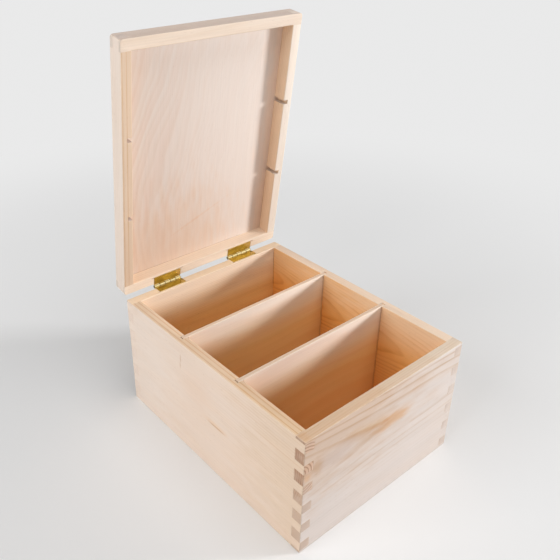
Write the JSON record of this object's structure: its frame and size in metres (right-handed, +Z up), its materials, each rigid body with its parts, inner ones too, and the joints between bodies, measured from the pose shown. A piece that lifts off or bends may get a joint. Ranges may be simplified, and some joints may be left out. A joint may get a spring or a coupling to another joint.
{
  "type": "parts sorting box",
  "caption": "Plain pine box with equal compartments for sorting small parts, finger-jointed corners and a framed lid on brass hinges, standing open.",
  "frame": {"origin": "centre of the box's underside", "axes": "+X to the right seen from the front, +Y to the rear, where the hinges are, +Z up"},
  "size_m": [0.19, 0.2658, 0.367],
  "materials": {
    "pine": "bare sanded pine",
    "plywood": "bare sanded plywood",
    "brass": "bright brass plate"
  },
  "bodies": {
    "box": {"front_wall": "pine", "rear_wall": "pine", "left_wall": "pine", "right_wall": "pine", "bottom_panel": "plywood", "front_divider": "plywood", "rear_divider": "plywood", "left_hinge_box_leaf": "brass", "left_hinge_pin": "brass", "right_hinge_box_leaf": "brass", "right_hinge_pin": "brass"},
    "lid": {"lid_front_rail": "pine", "lid_rear_rail": "pine", "lid_left_rail": "pine", "lid_right_rail": "pine", "lid_panel": "plywood", "left_hinge_lid_leaf": "brass", "right_hinge_lid_leaf": "brass"}
  },
  "joints": [
    {"name": "lid_hinge", "type": "hinge", "parent": "box", "child": "lid", "pos_m": [0, 0.1262, 0.11815], "axis": [-1, 0, 0], "range_deg": [-82, 13]}
  ]
}
